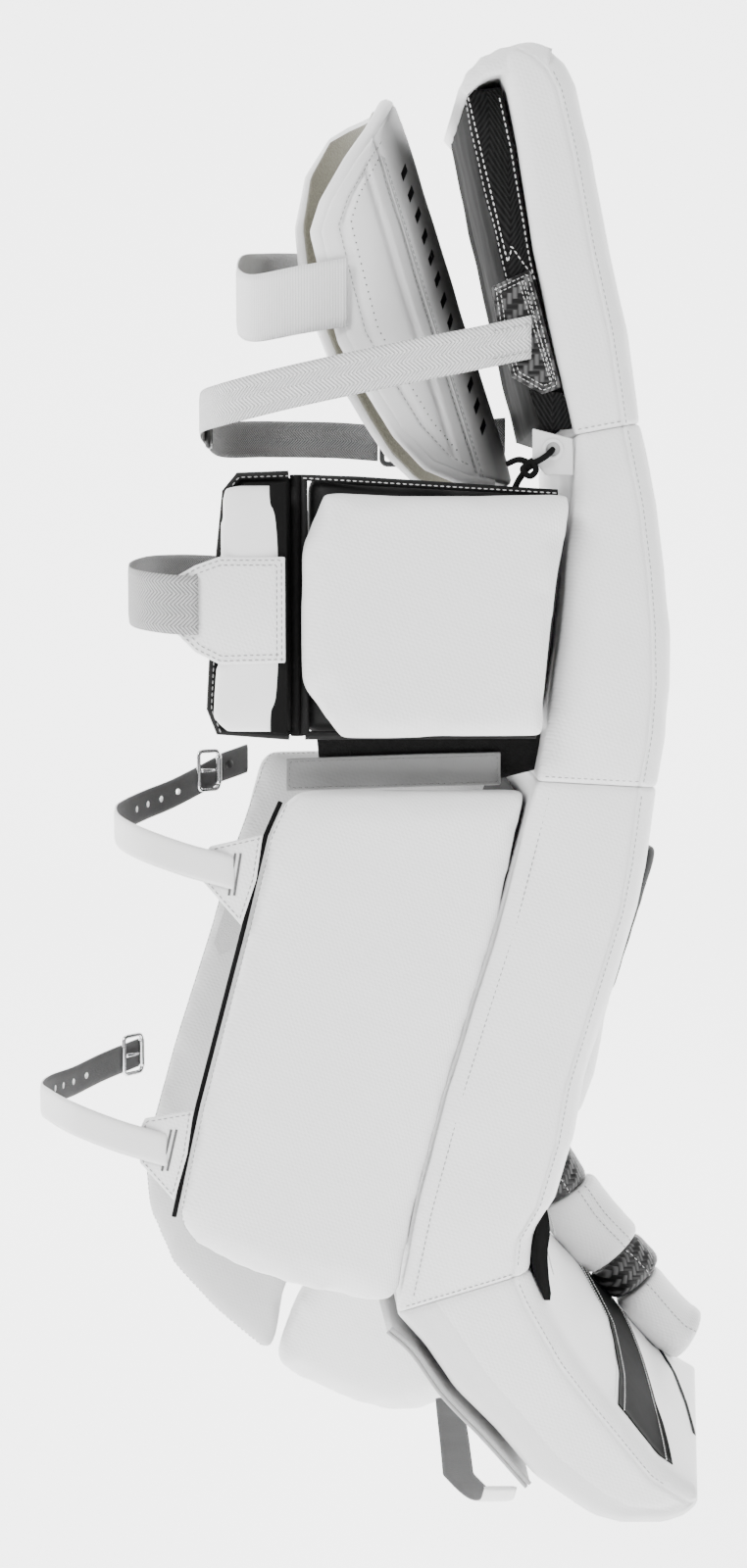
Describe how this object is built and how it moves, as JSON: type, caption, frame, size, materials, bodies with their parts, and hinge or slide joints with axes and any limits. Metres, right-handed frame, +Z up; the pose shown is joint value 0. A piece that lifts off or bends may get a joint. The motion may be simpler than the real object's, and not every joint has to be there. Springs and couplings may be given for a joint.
{
  "type": "goalie leg pad",
  "caption": "Ice hockey goalie leg pad: jointed foam leg with knee landing, hinged calf wings, buckled leather straps, boot strap and laced thigh guard.",
  "frame": {"origin": "centre of the wearer's knee, midway across the pad", "axes": "+X out of the pad's front face, -Y towards the inner (medial) side, +Z up along the leg"},
  "size_m": [0.456, 0.3158, 0.949],
  "materials": {
    "white_cover": "white synthetic leather with a fine twill emboss",
    "grey_cover": "pale grey synthetic leather",
    "black_textile": "black ribbed nylon",
    "carbon_twill": "dark carbon-look woven twill with white stitching",
    "foam": "closed-cell foam, covered all over",
    "leather_strap": "white leather with a dark grey flesh side",
    "webbing": "white and grey woven webbing",
    "nash_liner": "olive grey brushed lining",
    "black_plastic": "moulded black nylon",
    "chrome_hardware": "polished roller buckle"
  },
  "bodies": {
    "shin": {"shin_medial_panel": "white_cover", "shin_lateral_panel": "white_cover", "shin_face": "white_cover", "shin_core": "foam", "calf_liner": "black_textile", "inner_knee_strap": "grey_cover", "roll_shin_black": "black_textile", "roll_shin_white": "white_cover"},
    "knee": {"knee_medial_panel": "white_cover", "knee_lateral_panel": "white_cover", "knee_face": "white_cover", "knee_core": "foam", "knee_cradle": "black_textile", "knee_landing_core": "black_textile", "knee_landing_pad": "white_cover", "lace_tab": "grey_cover", "guard_lace": "black_textile"},
    "thigh": {"thigh_medial_panel": "white_cover", "thigh_lateral_panel": "white_cover", "thigh_face": "white_cover", "thigh_core": "foam", "top_cap": "white_cover", "thigh_back_pad": "black_textile", "thigh_strap_anchor": "carbon_twill", "thigh_strap_stub": "webbing"},
    "boot": {"boot_medial_panel": "white_cover", "boot_lateral_panel": "white_cover", "boot_face": "white_cover", "boot_core": "foam", "boot_plate": "grey_cover", "roll_top_band": "carbon_twill", "roll_boot_white": "white_cover", "roll_boot_band": "carbon_twill", "roll_toe_white": "white_cover"},
    "inner_calf_wing": {"medial_wing": "white_cover", "upper_strap_tab": "white_cover", "lower_strap_tab": "white_cover"},
    "outer_calf_wing": {"lateral_wing": "grey_cover"},
    "outer_ankle_wing": {"ankle_wing": "white_cover"},
    "inner_knee_wing": {"knee_wing": "black_textile", "knee_wing_pillow": "white_cover", "knee_strap_tab": "white_cover"},
    "outer_knee_wing": {"outer_knee_wing": "grey_cover"},
    "knee_strap": {"knee_strap": "webbing"},
    "upper_calf_strap": {"upper_calf_strap": "leather_strap", "upper_buckle_tab": "leather_strap"},
    "upper_buckle": {"upper_buckle_frame": "chrome_hardware"},
    "upper_prong": {"upper_buckle_prong": "chrome_hardware"},
    "lower_calf_strap": {"lower_calf_strap": "leather_strap"},
    "lower_buckle": {"lower_buckle_frame": "chrome_hardware"},
    "lower_prong": {"lower_buckle_prong": "chrome_hardware"},
    "boot_strap": {"boot_strap": "leather_strap"},
    "thigh_guard": {"thigh_guard_cap": "white_cover", "thigh_guard_near_flap": "white_cover", "thigh_guard_far_flap": "white_cover", "thigh_guard_liner": "nash_liner"},
    "elastic_strap": {"elastic_strap": "webbing"},
    "thigh_strap": {"thigh_web_strap": "webbing", "thigh_strap_buckle": "black_plastic"},
    "thigh_slider": {"thigh_strap_slider": "black_plastic"}
  },
  "joints": [
    {"name": "knee_break", "type": "hinge", "parent": "shin", "child": "knee", "pos_m": [0.157, 0, -0.107], "axis": [0, 1, 0], "range_deg": [-4, 6], "stiffness_Nm_per_rad": 60},
    {"name": "thigh_break", "type": "hinge", "parent": "knee", "child": "thigh", "pos_m": [0.145, 0, 0.107], "axis": [0, 1, 0], "range_deg": [-5, 6], "stiffness_Nm_per_rad": 30},
    {"name": "boot_break", "type": "hinge", "parent": "shin", "child": "boot", "pos_m": [0.084, 0, -0.402], "axis": [0, 1, 0], "range_deg": [-6, 1.5], "stiffness_Nm_per_rad": 30},
    {"name": "inner_calf_wing_open", "type": "hinge", "parent": "shin", "child": "inner_calf_wing", "pos_m": [0.085, -0.1405, -0.103], "axis": [0.2479, 0, 0.9688], "range_deg": [0, 50], "stiffness_Nm_per_rad": 0.4},
    {"name": "outer_calf_wing_open", "type": "hinge", "parent": "shin", "child": "outer_calf_wing", "pos_m": [0.085, 0.1405, -0.103], "axis": [-0.2479, 0, -0.9688], "range_deg": [0, 50], "stiffness_Nm_per_rad": 0.4},
    {"name": "outer_ankle_wing_open", "type": "hinge", "parent": "shin", "child": "outer_ankle_wing", "pos_m": [-0.012, 0.145, -0.45], "axis": [0.613, 0, -0.7901], "range_deg": [-10, 0], "stiffness_Nm_per_rad": 0.4},
    {"name": "inner_knee_wing_flex", "type": "hinge", "parent": "knee", "child": "inner_knee_wing", "pos_m": [-0.056, -0.146, 0], "axis": [0, 0, 1], "range_deg": [0, 20], "stiffness_Nm_per_rad": 0.3},
    {"name": "outer_knee_wing_open", "type": "hinge", "parent": "knee", "child": "outer_knee_wing", "pos_m": [0.106, 0.14, 0.07], "axis": [-0.112, 0, -0.9937], "range_deg": [0, 40], "stiffness_Nm_per_rad": 0.3},
    {"name": "knee_strap_swing", "type": "hinge", "parent": "inner_knee_wing", "child": "knee_strap", "pos_m": [-0.112, -0.1624, 0], "axis": [0, 0, 1], "range_deg": [0, 15]},
    {"name": "upper_calf_strap_swing", "type": "hinge", "parent": "inner_calf_wing", "child": "upper_calf_strap", "pos_m": [-0.094, -0.1548, -0.155], "axis": [0, 0, 1], "range_deg": [0, 20]},
    {"name": "upper_buckle_turn", "type": "hinge", "parent": "upper_calf_strap", "child": "upper_buckle", "pos_m": [-0.1195, 0.0905, -0.116], "axis": [0, 0, 1], "range_deg": [0, 45]},
    {"name": "upper_prong_turn", "type": "hinge", "parent": "upper_buckle", "child": "upper_prong", "pos_m": [-0.1195, 0.0905, -0.116], "axis": [0, 0, 1], "range_deg": [0, 30]},
    {"name": "lower_calf_strap_swing", "type": "hinge", "parent": "inner_calf_wing", "child": "lower_calf_strap", "pos_m": [-0.136, -0.1548, -0.322], "axis": [0, 0, 1], "range_deg": [0, 20]},
    {"name": "lower_buckle_turn", "type": "hinge", "parent": "lower_calf_strap", "child": "lower_buckle", "pos_m": [-0.1755, 0.0935, -0.318], "axis": [0, 0, 1], "range_deg": [0, 45]},
    {"name": "lower_prong_turn", "type": "hinge", "parent": "lower_buckle", "child": "lower_prong", "pos_m": [-0.1755, 0.0935, -0.318], "axis": [0, 0, 1], "range_deg": [0, 30]},
    {"name": "boot_strap_swing", "type": "hinge", "parent": "boot", "child": "boot_strap", "pos_m": [0.068, -0.1365, -0.538], "axis": [-1, 0, 0], "range_deg": [0, 12]},
    {"name": "thigh_guard_tilt", "type": "hinge", "parent": "knee", "child": "thigh_guard", "pos_m": [0.077, 0, 0.078], "axis": [0, 1, 0], "range_deg": [-8, 0]},
    {"name": "elastic_strap_swing", "type": "hinge", "parent": "thigh_guard", "child": "elastic_strap", "pos_m": [-0.026, -0.1016, 0.186], "axis": [0, 0, 1], "range_deg": [0, 15]},
    {"name": "thigh_strap_swing", "type": "hinge", "parent": "thigh", "child": "thigh_strap", "pos_m": [0.081, -0.1319, 0.157], "axis": [0, 0, 1], "range_deg": [0, 12]},
    {"name": "thigh_slider_slide", "type": "slide", "parent": "thigh_strap", "child": "thigh_slider", "axis": [0, 1, 0], "range_m": [-0.008, 0.008]}
  ]
}
